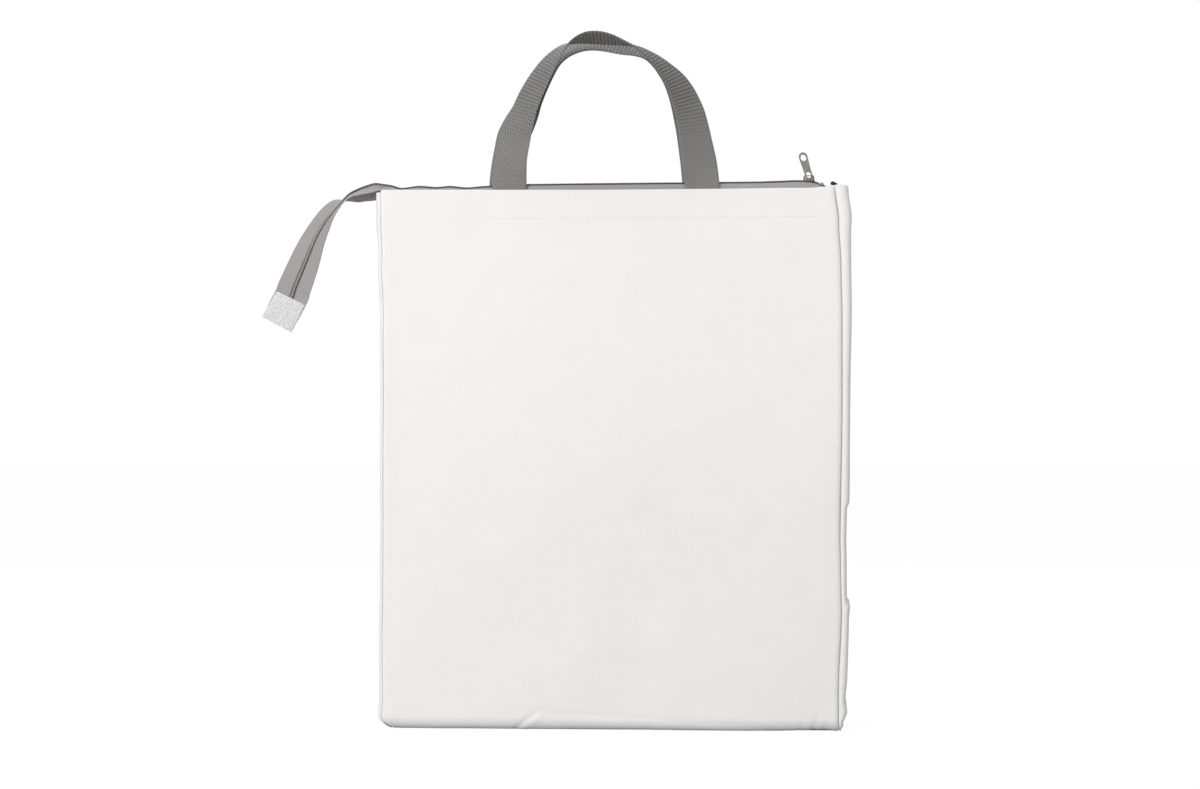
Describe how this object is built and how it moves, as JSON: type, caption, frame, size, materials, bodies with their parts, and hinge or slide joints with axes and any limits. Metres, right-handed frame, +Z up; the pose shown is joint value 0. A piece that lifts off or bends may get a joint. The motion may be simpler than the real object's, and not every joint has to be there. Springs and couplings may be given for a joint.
{
  "type": "cooler bag",
  "caption": "Tall gusseted insulated bag with foil lining, a zip mouth with a long zip tail, a slider with puller and two webbing carrying handles.",
  "frame": {"origin": "middle of the underside of the base, on the surface that the bag stands on", "axes": "+Z up the bag, -Y out of the front panel, +X to the right as seen from the front"},
  "size_m": [0.4261, 0.09, 0.5017],
  "materials": {
    "cloth": "white non-woven cloth with a fine pressed lattice",
    "foam": "white expanded foam sheet",
    "foil": "foil laminated lining",
    "webbing": "grey ribbed webbing",
    "zip_tape": "grey woven zip tape",
    "zip_coil": "grey nylon coil",
    "metal": "plated zinc alloy",
    "thread": "white sewing thread"
  },
  "bodies": {
    "bag": {"outer_front_panel": "cloth", "outer_back_panel": "cloth", "outer_base_panel": "cloth", "outer_right_side": "cloth", "outer_left_side": "cloth", "foam_front_panel": "foam", "foam_back_panel": "foam", "foam_base_panel": "foam", "foam_right_side": "foam", "foam_left_side": "foam", "liner_front_panel": "foil", "liner_back_panel": "foil", "liner_base_panel": "foil", "liner_right_side": "foil", "liner_left_side": "foil", "front_strap_end_left": "webbing", "front_strap_end_right": "webbing", "back_strap_end_left": "webbing", "back_strap_end_right": "webbing", "zip_tape_front": "zip_tape", "zip_tape_back": "zip_tape", "zip_coil_front": "zip_coil", "zip_coil_back": "zip_coil", "zip_end_stop": "metal", "hem_stitching_front": "thread", "hem_stitching_back": "thread"},
    "front_handle_loop": {"front_handle": "webbing"},
    "back_handle_loop": {"back_handle": "webbing"},
    "slider": {"slider_body": "metal"},
    "puller": {"slider_puller": "metal"},
    "zip_tail": {"tail_tape_front": "zip_tape", "tail_tape_back": "zip_tape", "tail_coil": "zip_coil", "tail_end_tab": "cloth"}
  },
  "joints": [
    {"name": "front_handle_fold", "type": "hinge", "parent": "bag", "child": "front_handle_loop", "pos_m": [0, -0.0115, 0.387], "axis": [1, 0, 0], "range_deg": [0, 145]},
    {"name": "back_handle_fold", "type": "hinge", "parent": "bag", "child": "back_handle_loop", "pos_m": [0, 0.0115, 0.387], "axis": [-1, 0, 0], "range_deg": [0, 145]},
    {"name": "slider_travel", "type": "slide", "parent": "bag", "child": "slider", "axis": [-1, 0, 0], "range_m": [0, 0.29]},
    {"name": "puller_swing", "type": "hinge", "parent": "slider", "child": "puller", "pos_m": [0.142, 0, 0.3967], "axis": [1, 0, 0], "range_deg": [-105, 105]},
    {"name": "tail_swing", "type": "hinge", "parent": "bag", "child": "zip_tail", "pos_m": [-0.1653, 0, 0.3915], "axis": [0, 1, 0], "range_deg": [-20, 55]}
  ]
}
